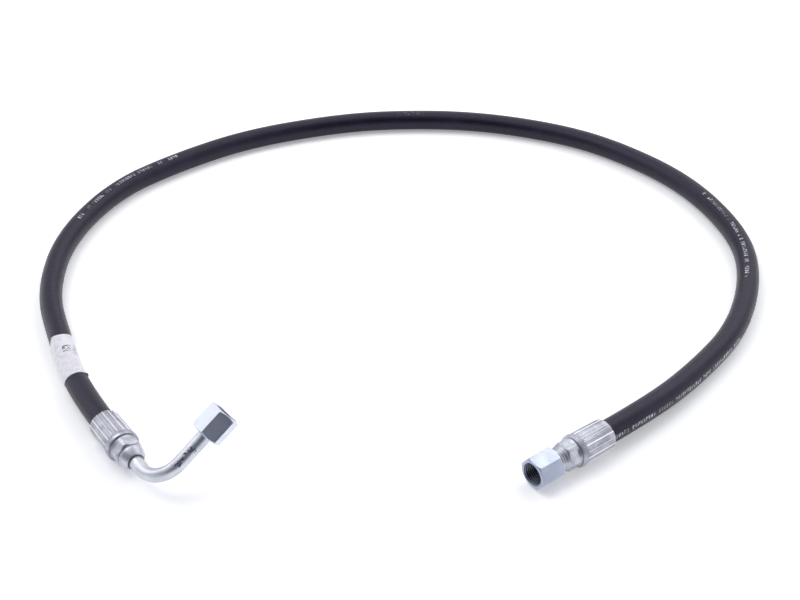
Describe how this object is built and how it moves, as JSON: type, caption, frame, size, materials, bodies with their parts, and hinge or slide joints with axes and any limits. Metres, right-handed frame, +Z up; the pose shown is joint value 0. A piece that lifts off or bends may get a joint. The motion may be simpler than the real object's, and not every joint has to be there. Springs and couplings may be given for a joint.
{
  "type": "hydraulic hose assembly",
  "caption": "Wire-braided rubber hydraulic hose lying in an open loop, with crimped end fittings: a straight female swivel and a raised 90 degree tube elbow swivel.",
  "frame": {"origin": "centre of the assembly's bounding box, on the flat surface that the hose lies on", "axes": "+Z up from that surface, +Y from the two end fittings towards the far side of the loop, +X towards the straight fitting's side"},
  "size_m": [0.571, 0.5055, 0.0585],
  "materials": {
    "cover_rubber": "satin black synthetic rubber with a fine fabric-wrap texture",
    "liner_rubber": "smooth black nitrile rubber",
    "braid_wire": "brass-coated high tensile steel wire braid",
    "label_film": "matt white printed film",
    "ferrule_zinc": "bright zinc plate, crimped",
    "stem_zinc": "bright zinc plate, turned",
    "nut_zinc": "bright zinc plate, drawn hexagon",
    "tube_zinc": "bright zinc plate, drawn tube",
    "hard_wire": "drawn spring wire",
    "braze_metal": "dull brazing alloy under zinc plate"
  },
  "bodies": {
    "hose_assembly": {"hose_inner_tube": "liner_rubber", "wire_braid": "braid_wire", "hose_cover": "cover_rubber", "hose_label": "label_film", "straight_ferrule": "ferrule_zinc", "straight_stem": "stem_zinc", "straight_lock_wire": "hard_wire", "elbow_ferrule": "ferrule_zinc", "elbow_stem": "stem_zinc", "elbow_socket_braze": "braze_metal", "elbow_tube": "tube_zinc", "elbow_seat": "stem_zinc", "elbow_seat_braze": "braze_metal", "elbow_lock_wire": "hard_wire"},
    "straight_nut": {"straight_swivel_nut": "nut_zinc"},
    "elbow_nut": {"elbow_swivel_nut": "nut_zinc"}
  },
  "joints": [
    {"name": "straight_nut_spin", "type": "hinge", "parent": "hose_assembly", "child": "straight_nut", "pos_m": [0.09778, -0.23297, 0.012], "axis": [-0.792, -0.6105, 0], "continuous": true},
    {"name": "elbow_nut_spin", "type": "hinge", "parent": "hose_assembly", "child": "elbow_nut", "pos_m": [-0.12594, -0.23109, 0.04137], "axis": [0.6711, 0.4698, 0.5736], "continuous": true}
  ]
}
